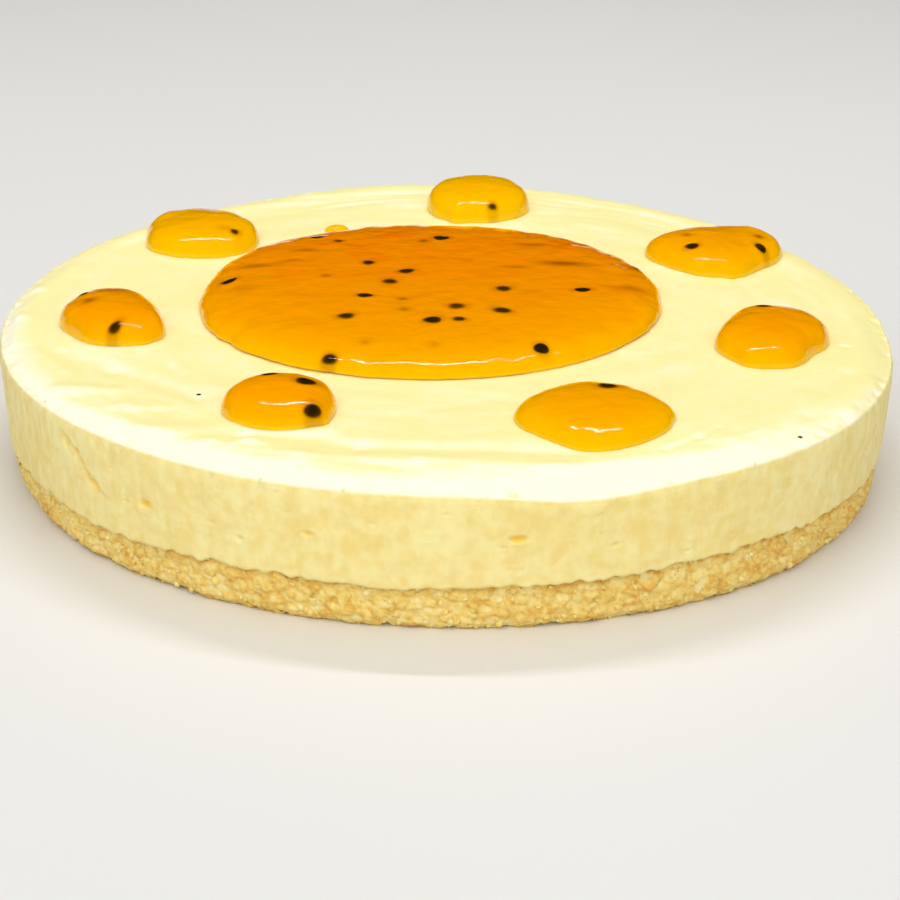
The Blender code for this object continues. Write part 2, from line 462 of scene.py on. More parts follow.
# THE CREAM, one thick layer of set cream cheese filling. Its top was swept with a
# palette knife, which left low strokes, and falls away to a crisp ragged corner. Its
# side came out of the tin's liner with faint marks, bubbles and one torn gouge.
def smoothed(node, levels):
    """A merged copy of a CAD node, rounded between its facets by a subdivision that
    keeps its corners."""
    mesh = merged(node)
    bmesh.ops.join_triangles(
        mesh,
        faces=mesh.faces,
        angle_face_threshold=math.radians(30),
        angle_shape_threshold=math.radians(50),
    )
    crease = mesh.edges.layers.float.new("crease_edge")
    for edge in mesh.edges:
        if edge.calc_face_angle(0) > math.radians(60):
            edge[crease] = 1.0
    data = bpy.data.meshes.new("smoothed")
    mesh.to_mesh(data)
    guide = bpy.data.objects.new("smoothed", data)
    scene.collection.objects.link(guide)
    rounding = guide.modifiers.new("rounding", "SUBSURF")
    rounding.levels = levels
    rounding.render_levels = levels
    mesh.free()
    mesh = bmesh.new()
    mesh.from_object(guide, bpy.context.evaluated_depsgraph_get())
    bpy.data.objects.remove(guide)
    bpy.data.meshes.remove(data)
    return mesh


def foot(skin, x, y):
    """How high a surface's underside is at a point, seen from below."""
    return skin.ray_cast(Vector((x, y, -beyond / 2)), Vector((0, 0, 1)))[0].z


cream_smooth = smoothed("cream_filling", 2)
cream_skin = skin_of(cream_smooth)
cream_smooth.free()
middle_height = level(cream_skin, 0, 0)
rim_radius = reach(cream_skin, 0, 0.7 * middle_height)
cream_foot = foot(cream_skin, 0, 0)
rounding_radius = 0.9 * MM
corner_radius = rim_radius - rounding_radius
side_top = middle_height - rounding_radius
inner_start, outer_start, last_start = 58.4 * MM, 96.0 * MM, corner_radius - 3.0 * MM
bands = (
    (inner_start, outer_start, 25),
    (outer_start, last_start, 19),
    (last_start, corner_radius, 6),
)
side_rows = 32
section = [(radius * MM, middle_height) for radius in (0, 20, 38, 50, 56)]
for start, end, rows in bands:
    section += [(start + (end - start) * row / rows, middle_height) for row in range(rows)]
for degrees in (90, 60, 30):
    turn = math.radians(degrees)
    section.append(
        (
            corner_radius + rounding_radius * math.cos(turn),
            side_top + rounding_radius * math.sin(turn),
        )
    )
section += [
    (rim_radius, side_top + (cream_foot - side_top) * row / side_rows)
    for row in range(side_rows + 1)
]
section += [(share * rim_radius, cream_foot) for share in (0.97, 0.9, 0.5, 0)]
cream = turned(section, 46, 20)

# It is laid on the CAD filling's own surface, ring by ring. At the front right a fold
# of the swept top hangs over the corner.
fold_at, fold_width, fold_drop = -75.0, 8.5, 1.7 * MM
rims = {}
for point in cream.verts:
    radius = math.hypot(point.co.x, point.co.y)
    height = point.co.z
    under = height < side_top - rounding_radius and radius < 0.95 * rim_radius
    if radius < 0.1 * MM or under:
        continue
    angle = math.atan2(point.co.y, point.co.x)
    key = round(angle, 4)
    cos, sin = math.cos(angle), math.sin(angle)
    if key not in rims:
        rim = reach(cream_skin, angle, 0.72 * middle_height)
        inner = rim - 1.1 * MM
        edge = 0.985 * rim
        fold = fold_drop * math.exp(-(((math.degrees(angle) - fold_at) / fold_width) ** 2))
        rims[key] = (
            rim,
            level(cream_skin, inner * cos, inner * sin),
            foot(cream_skin, edge * cos, edge * sin),
            fold,
        )
    rim, rim_top, rim_foot, fold = rims[key]
    if radius <= corner_radius + 0.01 * MM and height > side_top:
        radius *= (rim - rounding_radius) / corner_radius
        height = level(cream_skin, radius * cos, radius * sin)
        height -= fold * ease(-9 * MM, -1 * MM, radius - rim)
    elif height >= side_top - 0.01 * MM:
        radius += rim - rim_radius + 0.2 * fold
        height += rim_top - middle_height - fold
    elif height < cream_foot + 0.01 * MM and radius < 0.99 * rim_radius:
        height = rim_foot
    else:
        share = (side_top - height) / (side_top - cream_foot)
        low = rim_foot + seam_wander(angle)
        height = (rim_top - rounding_radius - fold) * (1 - share) + low * share
        radius = reach(cream_skin, angle, max(height, rim_foot + 0.3 * MM))
        radius += 0.2 * fold * (1 - ease(0.0, 0.25, share))
    point.co = (radius * cos, radius * sin, height)

# The bubbles on the side: degrees against the clock from +X, height, half width, half
# height and depth in millimetres. Each eases out over twice its half width and height.
pit_spread = 2
pits = [
    (-126.4, 21.6, 1.3, 0.7, 0.8),
    (-129.3, 20.6, 0.7, 0.4, 0.5),
    (-113.4, 19.4, 0.7, 0.45, 0.5),
    (-105.1, 23.4, 1.0, 0.55, 0.6),
    (-82.4, 24.2, 1.5, 0.6, 0.9),
    (-82.1, 16.3, 0.5, 0.4, 0.4),
    (-71.5, 21.0, 0.7, 0.4, 0.5),
    (-62.7, 16.5, 0.7, 0.4, 0.5),
    (-90.0, 30.5, 0.8, 0.35, 0.4),
    (-98.0, 27.5, 0.7, 0.4, 0.4),
]
pit_random = random.Random(8)
for number in range(46):
    wide = pit_random.uniform(0.35, 0.7)
    pits.append(
        (
            pit_random.uniform(-180, 180),
            pit_random.uniform(15.5, 31.5),
            wide,
            wide * pit_random.uniform(0.45, 0.8),
            pit_random.uniform(0.2, 0.45),
        )
    )
pit_tree = kdtree.KDTree(len(pits) + 2)
pit_shapes = []
for degrees, height, wide, tall, deep in pits:
    angle = math.radians(degrees)
    out = reach(cream_skin, angle, height * MM)
    place = Vector((out * math.cos(angle), out * math.sin(angle), height * MM))
    pit_tree.insert(place, len(pit_shapes))
    pit_shapes.append((place, pit_spread * wide * MM, pit_spread * tall * MM, deep))

# The holes in the top, as wide as they reach: one at the front rim and a shallow one at
# the right. The mesh is made finer round all of them.
for x, y, wide, tall, deep in (
    (15.2, -117.4, 2.4, 1.0, 0.5),
    (101.4, -22.8, 2.4, 2.0, 0.3),
):
    place = Vector((x * MM, y * MM, level(cream_skin, x * MM, y * MM)))
    pit_tree.insert(place, len(pit_shapes))
    pit_shapes.append((place, wide * MM, tall * MM, deep))
pit_tree.balance()
near = []
for edge in cream.edges:
    middle = (edge.verts[0].co + edge.verts[1].co) / 2
    if middle.z < cream_foot + 1 * MM:
        continue
    _, index, distance = pit_tree.find(middle)
    if distance < pit_shapes[index][1] + 0.4 * MM:
        near.append(edge)
bmesh.ops.subdivide_edges(cream, edges=near, cuts=1, use_grid_fill=True)
bmesh.ops.triangulate(cream, faces=[face for face in cream.faces if len(face.verts) > 4])

# The knife's marks that stand out: where each starts and ends, how much it rises or
# sinks and how wide it is, all in millimetres.
marks = (
    (-96, -34, -82, -49, -0.5, 3.2),
    (-82, -49, -60, -68, -0.5, 3.0),
    (-60, -68, -53, -78, -0.4, 3.0),
    (-34, -92, -20, -98, -0.5, 2.6),
    (-20, -98, 30, -100, -0.5, 2.8),
    (-61, -96, -45, -93.5, 0.55, 2.6),
    (-45, -93.5, -33, -102, 0.6, 3.0),
    (-33, -102, -6, -105, 0.55, 3.0),
    (-6, -105, 25, -108, 0.5, 3.0),
    (25, -108, 44, -103, 0.45, 3.0),
    (-70, -88, -52, -86, 0.6, 4.0),
    (-55, -97.5, -47, -90.5, -0.45, 1.8),
    (-47, -90.5, -28, -91.5, -0.45, 2.0),
    (-94, -59, -80, -62, 0.6, 2.4),
    (-78, -72, -69, -73.5, 0.6, 2.6),
    (-88, -66, -72, -80, -0.35, 3.0),
    (105, -45, 96, -67, 0.6, 2.4),
    (99, -43, 86, -73, -0.45, 3.0),
    (86, -60, 70, -90, 0.4, 4.0),
    (49.5, -98, 58, -90.5, -0.45, 1.1),
    (58, -90.5, 63.5, -84, -0.4, 1.0),
    (56, -101, 66, -91, 0.35, 3.0),
    (-111, -26, -112, -7, 0.55, 2.4),
    (-112, -7, -111, 17, 0.5, 2.4),
    (-111, 17, -104, 35, 0.5, 2.4),
    (-104, -28, -102, 24, -0.35, 4.0),
)
mark_share = 0.75  # how much of a mark is left once the cream has settled
mark_lines = [
    (Vector((x, y, 0)) * MM, Vector((x_end - x, y_end - y, 0)) * MM, rise, wide * MM)
    for x, y, x_end, y_end, rise, wide in marks
]


def knife_strokes(place, angle, radius):
    """How high the palette knife left the top at a point, in millimetres."""
    drift = 6.0 * noise.noise(place / (30 * MM)) + radius / MM
    broad = round_the_cake(angle, 42.0, drift / 9.0)
    fine = round_the_cake(angle, 18.0, drift / 3.0 + 40)
    ledge = round_the_cake(angle, 32.0, drift / 5.5 + 90)
    coming = ease(-0.1, 0.35, noise.noise(place / (24 * MM) + Vector((7, 3, 0))))
    rise = 0.32 * broad + 0.14 * fine - 0.42 * coming * abs(ledge)
    flat = Vector((place.x, place.y, 0))
    for start, run, amount, wide in mark_lines:
        along = min(max((flat - start).dot(run) / run.length_squared, 0.0), 1.0)
        off = (flat - start - run * along).length / wide
        if off < 2.2:
            rise += mark_share * amount * math.exp(-(off**2))
    return rise


def side_marks(place, angle):
    """How proud the side stands at a point, in millimetres."""
    height = place.z / MM
    broad = round_the_cake(angle, 9.0, height / 26)
    drag = round_the_cake(angle, 2.6, height / 14 + 60)
    blotch = noise.noise(place / (4.5 * MM))
    bits = noise.noise(place / (1.5 * MM))
    smear = round_the_cake(angle, 5.0, height / 1.1 + 20)
    torn = ease(0.18, 0.45, noise.noise(place / (8 * MM) + Vector((0, 0, 9))))
    upright = ease(0.0, 0.4, round_the_cake(angle, 14.0, 33.0))
    return (
        0.2 * broad
        + 0.12 * drag * (0.3 + upright)
        + 0.2 * blotch
        + 0.08 * bits
        + torn * (0.12 * bits + 0.2 * smear - 0.1)
    )


# The gouge runs obliquely down the side from its first end to its last, in degrees and
# millimetres of height. The corner is ragged where the top breaks to the side.
gouge_start, gouge_end = (-141.0, 31.0), (-134.0, 19.5)
gouge_width, gouge_depth = 4.0, 0.9
cream.normal_update()
wall = cream.verts.layers.float.new("wall")
hollow = cream.verts.layers.float.new("hollow")
moves = []
for point in cream.verts:
    place = point.co
    radius = math.hypot(place.x, place.y)
    if place.z < cream_foot + 4 * MM and radius < 0.96 * rim_radius:
        moves.append(0.0)
        continue
    angle = math.atan2(place.y, place.x)
    upness = ease(0.3, 0.75, point.normal.z)
    rim, rim_top, rim_foot, fold = rims.get(
        round(angle, 4), (rim_radius, middle_height, cream_foot, 0.0)
    )
    inward = max(rim - radius, 0) / MM
    downward = max(rim_top - fold - place.z, 0) / MM
    ragged = (1 - ease(1.0, 4.5, inward)) * (1 - ease(1.0, 4.0, downward))
    move = 0.0
    if upness > 0:
        move += upness * knife_strokes(place, angle, radius) * ease(30, 55, radius / MM)
    if upness < 1:
        calm_foot = ease(0.5, 3.0, (place.z - rim_foot) / MM)
        marked = (1 - upness) * (0.4 + 0.6 * calm_foot) * (1 - 0.8 * ragged)
        move += marked * side_marks(place, angle)
    if ragged > 0:
        flake = noise.noise(place / (3.0 * MM) + Vector((3, 3, 3)))
        dust = noise.noise(place / (1.3 * MM))
        chip = ease(0.22, 0.45, noise.noise(place / (4.2 * MM) + Vector((0, 8, 1))))
        move += ragged * (0.28 * flake + 0.08 * dust - 0.3 * chip)
    pit_depth = 0.0
    _, index, _ = pit_tree.find(place)
    middle, wide, tall, deep = pit_shapes[index]
    off = place - middle
    if off.length < wide:
        if upness > 0.5:
            gap = math.hypot(off.x / wide, off.y / tall)
        else:
            gap = math.hypot(math.hypot(off.x, off.y) / wide, off.z / tall)
        pit_depth = deep * max(1 - gap**2, 0.0) ** 1.2
    along = (place.z / MM - gouge_start[1]) / (gouge_end[1] - gouge_start[1])
    if -0.1 < along < 1.1:
        path = gouge_start[0] + (gouge_end[0] - gouge_start[0]) * along
        path += 1.0 * noise.noise(Vector((0, 0, place.z / (3 * MM))))
        off = (math.degrees(angle) - path) * math.radians(1) * rim_radius / MM
        wide = gouge_width * (0.75 + 0.8 * noise.noise(Vector((5, 0, place.z / (2 * MM)))))
        if abs(off) < wide:
            ends = ease(-0.1, 0.1, along) * (1 - ease(0.85, 1.1, along))
            torn = 0.8 + 1.4 * noise.noise(place / (1.6 * MM))
            share = ends * (1 - (off / wide) ** 2)
            move -= gouge_depth * share * torn
            # The gouge's inside gets painted shade.
            point[hollow] = math.sqrt(share) * min(max(0.35 + 0.35 * torn, 0.3), 0.8)
    point[wall] = 1 - upness
    # Each pit gets painted shade by its depth.
    point[hollow] = max(point[hollow], min(pit_depth / 0.8, 1.0))
    moves.append((move - pit_depth) * MM)
for point, move in zip(cream.verts, moves):
    point.co += point.normal * move

# Where the top leans to the front, towards the light, it is painted paler: painted light.
cream.normal_update()
paleness = cream.verts.layers.float.new("paleness")
for point in cream.verts:
    lean = -0.95 * point.normal.y - 0.25 * point.normal.x
    point[paleness] = ease(-0.16, 0.42, lean)

cream_finish, sums = new_finish("set_cream")
where = sums.node("TexCoord", {}, {}, output="Object")
side = sums.node("Attribute", {"attribute_name": "wall"}, {}, output="Fac")
hollow_shade_share = sums.node("Attribute", {"attribute_name": "hollow"}, {}, output="Fac")
painted_light_share = sums.node("Attribute", {"attribute_name": "paleness"}, {}, output="Fac")
cloud = sums.node("TexNoise", {}, {"Vector": where, "Scale": 55.0, "Detail": 3.0})
mottle = sums.node("TexNoise", {}, {"Vector": where, "Scale": 300.0, "Detail": 3.0})
curdle = sums.node("TexNoise", {}, {"Vector": where, "Scale": 1100.0, "Detail": 3.0})
upright = sums.node(
    "Mapping", {"vector_type": "POINT"}, {"Vector": where, "Scale": (1.0, 1.0, 0.15)}
)
drag = sums.node("TexNoise", {}, {"Vector": upright, "Scale": 380.0, "Detail": 2.0})
level_out = sums.node(
    "Mapping", {"vector_type": "POINT"}, {"Vector": where, "Scale": (0.4, 1.0, 2.0)}
)
flecks = sums.node("TexNoise", {}, {"Vector": level_out, "Scale": 420.0, "Detail": 1.0})
# Random tone, and painted light where the top leans to the front.
tone_and_painted_light = (cloud * 0.3 + mottle * 0.25 + painted_light_share * 0.6).between(0.3, 0.8)
top_colour = tone_and_painted_light.blend(paint(252, 240, 165), paint(255, 252, 222))
streaky = (mottle * 0.5 + drag * 0.2 + cloud * 0.3).between(0.36, 0.64)
side_colour = streaky.blend(paint(243, 220, 138), paint(251, 236, 168))
# The side's colours are darker and yellower than the top's: partly painted shade, as the
# light falls from above, and partly the cream's own tone where it set against the tin.
colour = side.blend(top_colour, side_colour)
colour = (flecks.between(0.72, 0.8) * side * 0.8).blend(colour, paint(248, 222, 112))
# Painted shade: pits and the gouge are coloured a deeper yellow, for their shaded insides
# lit by the cream round them.
colour = hollow_shade_share.between(0.3, 0.95).blend(colour, paint(252, 206, 80))
swept = sums.node(
    "Mapping", {"vector_type": "POINT"}, {"Vector": where, "Scale": (0.22, 1.0, 1.0)}
)
scratch = sums.node("TexNoise", {}, {"Vector": swept, "Scale": 420.0, "Detail": 2.0})
relief = mottle * 0.4 + curdle * 0.3 + drag * side * 0.35 + scratch * (1 - side) * 0.5
grainy = sums.node("Bump", {}, {"Strength": 0.65, "Distance": 0.22 * MM, "Height": relief})
apply_finish(
    cream_finish,
    {
        "Base Color": colour,
        "Roughness": 0.62 + mottle * 0.15,
        "Normal": grainy,
        "Specular IOR Level": 0.25,
        "Subsurface Weight": 0.25,
        "Subsurface Radius": (1.0, 0.7, 0.3),
        "Subsurface Scale": 2.5 * MM,
    },
)
dressed_skin = skin_of(cream)
cream_body = new_piece(cream, "cream_body", cream_finish)
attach(cream_body, "root")
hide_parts("cream_filling")


# THE CREAM CURDS. Small flat bits of cream that the knife and the liner rolled up,
# left along the corner, and a few on the side.
curd_random = random.Random(31)
corner_curds, side_curds = 70, 40
curds = bmesh.new()
curd_spots = []
for number in range(corner_curds):
    degrees, down = curd_random.uniform(-180, 180), curd_random.gauss(-0.7, 0.5)
    curd_spots.append((degrees, down, 0.3, 0.65))
for number in range(side_curds):
    degrees, down = curd_random.uniform(-180, 180), curd_random.uniform(-20, -5)
    curd_spots.append((degrees, down, 0.25, 0.45))
batch_size = 80
for number, (degrees, down, low, high) in enumerate(curd_spots):
    if number % batch_size == 0:
        batch = bmesh.new()
        wall = batch.verts.layers.float.new("wall")
        paleness = batch.verts.layers.float.new("paleness")
    angle = math.radians(degrees)
    outward = Vector((math.cos(angle), math.sin(angle), 0))
    rim, rim_top, _, fold = min(rims.items(), key=lambda item: abs(item[0] - angle))[1]
    start = outward * beyond
    if number < corner_curds:
        start.z = rim_top - fold + (down - 0.5) * MM
    else:
        start.z = middle_height + down * MM
    hit, normal, _, _ = dressed_skin.ray_cast(start, -outward)
    if hit is None:
        continue
    size = curd_random.uniform(low, high) * MM
    shape = Matrix.Diagonal((size * curd_random.uniform(1.2, 2.2), size, size * 0.45, 1))
    faced = normal.to_track_quat("Z", "X").to_matrix().to_4x4()
    spun = Matrix.Rotation(curd_random.uniform(0, math.pi), 4, "Z")
    place = Matrix.Translation(hit - normal * size * 0.34)
    made = bmesh.ops.create_icosphere(
        batch, subdivisions=2, radius=1.0, matrix=place @ faced @ spun @ shape
    )
    for corner in made["verts"]:
        shift = 1 + 0.3 * noise.noise(corner.co / (0.5 * MM))
        corner.co = place.translation + (corner.co - place.translation) * shift
        corner[wall] = 0.6
        # A middling share of the painted light.
        corner[paleness] = 0.4
    if number % batch_size == batch_size - 1 or number == len(curd_spots) - 1:
        gather(curds, batch)
cream_curds = new_piece(curds, "cream_curds", cream_finish)
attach(cream_curds, "root")


# THE JELLY. Sieved fruit pulp set with gelatine and spooned on while it was just
# pouring: one pool in the middle, seven spoonfuls round it and a stray bead. Each lies
# on the cream with a rounded edge and is a little lower and brighter towards it.

# For each spoonful: its name, how deep in colour, how finely smoothed, how much painted
# shade it takes towards its back, with wisps of pulp in it, its seeds, its dim streaks, and
# the points and dents of its outline. Places are shares of its half width and half depth
# from its middle. A seed is (across, along, turn in degrees, length and width in mm,
# softness of its edge, how dark), a streak (across, along, half width and half depth in mm,
# how dark) and a point or dent (degrees, mm, width in degrees).
spoonfuls = {
    "jelly_pool": {
        "name": "pool_jelly",
        "deep": 1.0,
        "levels": 3,
        "far_shaded": 1.0,
        "seeds": (
            (-0.88, 0.02, 50, 5.8, 2.8, 0.35, 1.0),
            (-0.53, 0.67, 5, 4.7, 2.4, 0.5, 0.9),
            (-0.43, 0.58, 10, 3.8, 2.8, 0.9, 0.6),
            (0.04, 0.63, 8, 4.8, 3.6, 0.35, 1.0),
            (-0.28, 0.23, 5, 3.8, 3.2, 0.7, 0.85),
            (-0.11, 0.11, 40, 5.4, 3.0, 0.6, 0.85),
            (-0.18, -0.04, 80, 4.8, 3.6, 0.85, 0.8),
            (-0.28, -0.23, -8, 4.6, 2.6, 0.45, 0.95),
            (-0.35, -0.49, 52, 5.6, 3.6, 0.85, 0.85),
            (-0.40, -0.90, 82, 4.8, 3.4, 0.75, 0.95),
            (0.01, -0.54, 55, 5.4, 3.8, 0.6, 0.95),
            (0.11, -0.36, -8, 5.4, 4.2, 0.75, 0.62),
            (0.12, -0.52, -25, 4.0, 3.0, 0.75, 0.75),
            (0.31, -0.12, 28, 4.8, 3.6, 0.8, 0.85),
            (0.30, -0.41, -38, 6.0, 3.6, 0.8, 0.85),
            (0.65, -0.11, 28, 5.0, 2.6, 0.3, 1.0),
            (0.45, -0.79, 90, 5.4, 3.2, 0.35, 1.0),
            (-0.46, 0.04, 0, 4.4, 3.0, 1.0, 0.32),
            (-0.12, -0.27, 0, 4.4, 2.6, 1.0, 0.35),
            (-0.11, -0.41, 0, 4.4, 3.4, 1.0, 0.3),
            (-0.26, -0.79, 20, 4.2, 3.8, 1.0, 0.22),
            (0.02, -0.80, 0, 4.6, 3.8, 1.0, 0.18),
            (-0.04, 0.58, 0, 3.8, 3.6, 1.0, 0.4),
        ),
        "streaks": (
            (0.58, 0.27, 7.0, 2.2, 0.5),
            (0.46, 0.56, 5.0, 1.8, 0.3),
            (0.37, 0.20, 4.0, 1.4, 0.3),
            (0.86, -0.04, 5.0, 2.6, 0.3),
            (0.93, 0.30, 3.0, 3.0, 0.6),
            (-0.57, 0.43, 4.0, 1.8, 0.3),
            (-0.78, 0.22, 5.0, 1.8, 0.35),
            (-0.63, 0.28, 4.0, 1.6, 0.25),
            (-0.81, -0.11, 3.0, 2.4, 0.2),
            (0.42, -0.14, 3.0, 1.8, 0.15),
        ),
        "lobes": ((-144, -0.9, 3.0), (160, 0.5, 8)),
    },
    "jelly_drop_1": {
        "name": "front_right_jelly",
        "deep": 0.9,
        "levels": 3,
        "far_shaded": 0.0,
        "seeds": ((0.19, 0.47, 0, 5.6, 4.0, 0.75, 0.9),),
        "streaks": (),
        "lobes": ((6, 0.4, 9), (-40, 0.5, 14)),
    },
    "jelly_drop_2": {
        "name": "right_jelly",
        "deep": 0.95,
        "levels": 3,
        "far_shaded": 0.0,
        "seeds": ((-0.07, 0.57, 0, 4.8, 3.6, 0.7, 0.85),),
        "streaks": ((0.35, 0.62, 4.0, 1.6, 0.25),),
        "lobes": ((-112, 1.4, 10), (128, -0.6, 8)),
    },
    "jelly_drop_3": {
        "name": "back_right_jelly",
        "deep": 0.8,
        "levels": 3,
        "far_shaded": 0.0,
        "seeds": (
            (-0.37, -0.43, 35, 4.6, 3.0, 0.5, 0.95),
            (0.63, -0.22, -62, 5.2, 2.8, 0.5, 0.95),
            (-0.41, 0.02, 0, 3.8, 3.0, 1.0, 0.35),
            (0.64, 0.18, 0, 4.2, 3.4, 1.0, 0.4),
        ),
        "streaks": (),
        "lobes": ((-92, -1.1, 6), (-70, 0.5, 9), (-112, 0.4, 8)),
    },
    "jelly_drop_4": {
        "name": "back_jelly",
        "deep": 0.34,
        "levels": 3,
        "far_shaded": 0.0,
        "seeds": ((0.26, -0.89, 80, 3.4, 2.6, 0.9, 0.75),),
        "streaks": (),
        "lobes": ((-112, 1.8, 10), (-75, 0.5, 12)),
    },
    "jelly_drop_5": {
        "name": "back_left_jelly",
        "deep": 0.5,
        "levels": 3,
        "far_shaded": 0.0,
        "seeds": ((0.62, -0.52, 30, 3.2, 2.8, 0.9, 0.8),),
        "streaks": ((0.45, -0.46, 2.5, 1.8, 0.2),),
        "lobes": ((170, 0.4, 12),),
    },
    "jelly_drop_6": {
        "name": "left_jelly",
        "deep": 1.05,
        "levels": 3,
        "far_shaded": 0.0,
        "seeds": (
            (0.17, -0.88, 66, 6.0, 2.6, 0.8, 0.92),
            (-0.42, -0.03, 0, 6.0, 4.4, 1.0, 0.35),
            (-0.60, 0.42, 60, 3.6, 2.4, 0.5, 0.95),
        ),
        "streaks": ((-0.06, 0.48, 4.5, 2.4, 0.3),),
        "lobes": ((-62, 0.8, 10), (8, 0.5, 8)),
    },
    "jelly_drop_7": {
        "name": "front_left_jelly",
        "deep": 1.1,
        "levels": 3,
        "far_shaded": 0.0,
        "seeds": (
            (-0.19, 0.50, 0, 4.4, 3.0, 0.5, 0.95),
            (0.47, 0.13, -8, 5.6, 3.8, 0.5, 1.0),
            (0.63, -0.76, 90, 4.8, 3.6, 0.6, 0.95),
        ),
        "streaks": (),
        "lobes": ((-42, 0.9, 8), (-20, -0.3, 8)),
    },
    "jelly_bead": {
        "name": "stray_bead",
        "deep": 1.0,
        "levels": 2,
        "far_shaded": 0.0,
        "seeds": (),
        "streaks": (),
        "lobes": (),
    },
}



def wet_ripple(sums, where):
    """The low ripples in the skin of what is wet."""
    ripple = sums.node("TexNoise", {}, {"Vector": where, "Scale": 240.0, "Detail": 1.0})
    return sums.node("Bump", {}, {"Strength": 0.6, "Distance": 0.45 * MM, "Height": ripple})


jelly_finish, sums = new_finish("fruit_jelly")
where = sums.node("TexCoord", {}, {}, output="Object")
depth = sums.node("Attribute", {"attribute_name": "depth"}, {}, output="Fac")
dim = sums.node("Attribute", {"attribute_name": "dim"}, {}, output="Fac")
murk = sums.node("Attribute", {"attribute_name": "murk"}, {}, output="Fac")
stretched = sums.node(
    "Mapping", {"vector_type": "POINT"}, {"Vector": where, "Scale": (0.45, 1.0, 1.0)}
)
swirl = {"Vector": stretched, "Scale": 120.0, "Detail": 4.0, "Distortion": 0.8}
wisp = sums.node("TexNoise", {}, swirl)
body = sums.node(
    "ValToRGB",
    {
        "stops": (
            (0.0, paint(255, 210, 14)),
            (0.3, paint(255, 188, 0)),
            (0.6, paint(255, 173, 0)),
            (1.0, paint(255, 159, 0)),
        )
    },
    {"Fac": depth * 0.17},
)
# Towards the back of the pool the colour deepens, with wisps of pulp: painted shade for the
# dark room its back reflects.
far_shade_and_pulp = murk * 0.55 + wisp.between(0.46, 0.72) * murk * 0.45
body = far_shade_and_pulp.blend(body, paint(250, 122, 0))
# Painted shadow round the seeds, and the dim streaks of seeds lying deeper in the jelly.
body = dim.blend(body, paint(120, 56, 0))
wet = {
    "Roughness": 0.05,
    "IOR": 1.34,
    "Normal": wet_ripple(sums, where),
    "Specular IOR Level": 0.5,
    "Subsurface Weight": 0.3,
    "Subsurface Radius": (0.8, 0.35, 0.02),
    "Subsurface Scale": 3.0 * MM,
}
apply_finish(jelly_finish, wet | {"Base Color": body})

jelly_gap = 0.3 * MM  # what the CAD drops leave over the CAD cream
sunk_in = 0.75 * MM
longest_step = 1.5 * MM
seed_reach = 7 * MM  # how far from a seed its swelling and its shade are felt
streak_strength = 1.5
jelly_skins = {}
for node, spoonful in spoonfuls.items():
    low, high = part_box(node)
    middle = (low + high) / 2
    half = (high - low) / 2
    flat_middle = Vector((middle.x, middle.y, 0))
    jelly = smoothed(node, spoonful["levels"])
    long_edges = [edge for edge in jelly.edges if edge.calc_length() > longest_step]
    bmesh.ops.subdivide_edges(jelly, edges=long_edges, cuts=1, use_grid_fill=True)
    full = (high.z - low.z) / MM
    seed_shadow_and_streak_layer = jelly.verts.layers.float.new("dim")
    depth_layer = jelly.verts.layers.float.new("depth")
    far_shade_layer = jelly.verts.layers.float.new("murk")
    seed_spots = []
    for across, along, turn, length, width, soft, dark in spoonful["seeds"]:
        spot = flat_middle + Vector((half.x * across, half.y * along, 0))
        seed_halves = (length * MM / 2, width * MM / 2)
        seed_spots.append((spot, math.radians(turn), *seed_halves, dark))
    for point in jelly.verts:
        place = point.co
        flat = Vector((place.x, place.y, 0))
        out = flat - flat_middle
        share = math.hypot(out.x / half.x, out.y / half.y)
        angle = math.atan2(out.y, out.x)
        push = 0.45 * noise.noise(place / (9 * MM)) + 0.2 * noise.noise(place / (3.5 * MM))
        for degrees, amount, width in spoonful["lobes"]:
            off = (math.degrees(angle) - degrees + 180) % 360 - 180
            push += amount * math.exp(-((off / width) ** 2))
        if out.length > 0:
            flat += out.normalized() * push * MM * min(share, 1.0) ** 6
        plain = level(cream_skin, place.x, place.y)
        thick = max(place.z - plain - jelly_gap, 0.0) / MM
        low_share = 1 - min(thick / full, 1.0)
        dressed = level(dressed_skin, flat.x, flat.y)
        height = dressed + thick * MM - sunk_in * low_share
        height = height * low_share + place.z * (1 - low_share)
        shadow_and_streak = 0.0
        if thick > 0.5:
            swell = 0.16 * noise.noise(flat / (14 * MM))
            swell += 0.1 * noise.noise(Vector((flat.x, flat.y, 0.02)) / (5 * MM))
            crinkle = noise.noise(Vector((flat.x / (5 * MM), flat.y / (9 * MM), 7)))
            swell += 0.3 * crinkle * ease(0.55, 0.9, share)
            for spot, turn, long_half, wide_half, dark in seed_spots:
                away = flat - spot
                if away.length > seed_reach:
                    continue
                ahead = away.x * math.cos(turn) + away.y * math.sin(turn)
                aside = away.y * math.cos(turn) - away.x * math.sin(turn)
                gap = math.hypot(ahead / long_half, aside / wide_half)
                swell += 0.25 * dark * math.exp(-((gap / 1.3) ** 2))
                # A darker halo round each seed: painted shadow.
                shadow_and_streak = max(shadow_and_streak, 0.35 * dark * (1 - ease(0.8, 2.0, gap)))
            height += swell * MM * min(thick / 3, 1)
        for across, along, half_x, half_y, dark in spoonful["streaks"]:
            away = flat - flat_middle
            gap = math.hypot(
                (away.x - half.x * across) / (half_x * MM),
                (away.y - half.y * along) / (half_y * MM),
            )
            shadow_and_streak = max(shadow_and_streak, streak_strength * dark * math.exp(-(gap**2)))
        point.co = (flat.x, flat.y, height)
        point[seed_shadow_and_streak_layer] = shadow_and_streak
        point[depth_layer] = thick * spoonful["deep"]
        # The pool is painted darker towards its back: painted shade.
        point[far_shade_layer] = spoonful["far_shaded"] * ease(-0.95, 0.85, out.y / half.y)
    bmesh.ops.recalc_face_normals(jelly, faces=jelly.faces)
    jelly.normal_update()
    jelly_skins[node] = skin_of(jelly)
    piece = new_piece(jelly, spoonful["name"], jelly_finish)
    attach(piece, "root")
    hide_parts(node)


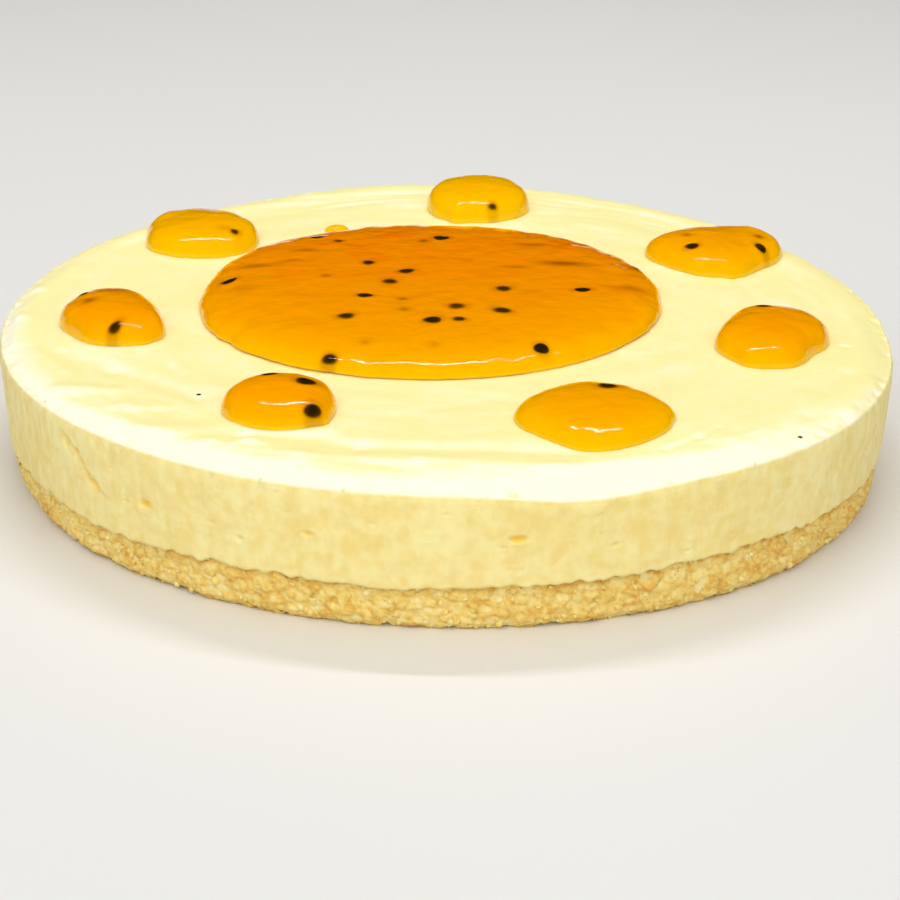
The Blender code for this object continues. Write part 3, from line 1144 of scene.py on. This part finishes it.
# THE SEEDS. Hard, flattened and nearly black. They lie just under the smooth skin of
# the jelly, so each is cut off level with it, and it is veiled where the jelly over it
# gets deeper.
seed_finish, sums = new_finish("dark_seed")
where = sums.node("TexCoord", {}, {}, output="Object")
seen = sums.node("Attribute", {"attribute_name": "seen"}, {}, output="Fac")
patch = sums.node("TexNoise", {}, {"Vector": where, "Scale": 500.0, "Detail": 2.0})
husk = sums.node(
    "ValToRGB",
    {
        "stops": (
            (0.0, paint(150, 84, 0)),
            (0.5, paint(90, 56, 4)),
            (1.0, paint(34, 25, 8)),
        )
    },
    {"Fac": seen * (1.25 - patch * 0.5)},
)
apply_finish(
    seed_finish,
    wet
    | {
        "Base Color": husk,
        "Alpha": seen.between(0.0, 0.8),
        "Normal": wet_ripple(sums, where),
        "Specular IOR Level": 0.25,
        "Subsurface Weight": 0.0,
    },
)

# A soft-edged seed is made larger, because its edge fades out.
seed_thickness = 1.9 * MM
film = 0.04 * MM  # how far a seed may stand over the jelly's skin
seeds = bmesh.new()
seen_layer = seeds.verts.layers.float.new("seen")
for node, spoonful in spoonfuls.items():
    low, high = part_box(node)
    middle = (low + high) / 2
    half = (high - low) / 2
    skin = jelly_skins[node]
    for across, along, turn, length, width, soft, dark in spoonful["seeds"]:
        above = Vector((middle.x + half.x * across, middle.y + half.y * along, beyond))
        hit, normal, _, _ = skin.ray_cast(above, Vector((0, 0, -1)))
        faced = Vector((0, 0, 1)).rotation_difference(normal).to_matrix().to_4x4()
        spun = Matrix.Rotation(math.radians(turn), 4, "Z")
        settled = Matrix.Translation(hit - normal * 0.1 * seed_thickness) @ faced @ spun
        long_half = length * MM / 2 * (1.0 + 0.35 * soft)
        wide_half = width * MM / 2 * (1.3 + 0.6 * soft)
        shape = Matrix.Diagonal((long_half, wide_half, seed_thickness / 2, 1))
        made = bmesh.ops.create_uvsphere(
            seeds, u_segments=28, v_segments=20, radius=1.0, matrix=shape
        )
        for corner in made["verts"]:
            in_share = math.hypot(corner.co.x / long_half, corner.co.y / wide_half)
            corner.co.y *= 1 - 0.28 * corner.co.x / long_half
            corner.co = settled @ corner.co
            near_place, near_normal, _, _ = skin.find_nearest(corner.co)
            proud = (corner.co - near_place).dot(near_normal)
            if proud > film:
                corner.co = near_place + near_normal * film
            corner[seen_layer] = dark * (1 - ease(0.97 - soft, 0.97, in_share))

# Two specks of broken seed lie on the bare cream.
for x, y in ((82.1 * MM, -83.8 * MM), (-59.7 * MM, -64.8 * MM)):
    place = Matrix.Translation((x, y, level(dressed_skin, x, y)))
    shape = Matrix.Diagonal((0.65 * MM, 0.4 * MM, 0.25 * MM, 1))
    made = bmesh.ops.create_icosphere(
        seeds, subdivisions=2, radius=1.0, matrix=place @ shape
    )
    for corner in made["verts"]:
        corner[seen_layer] = 0.9
fruit_seeds = new_piece(seeds, "fruit_seeds", seed_finish)
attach(fruit_seeds, "root")
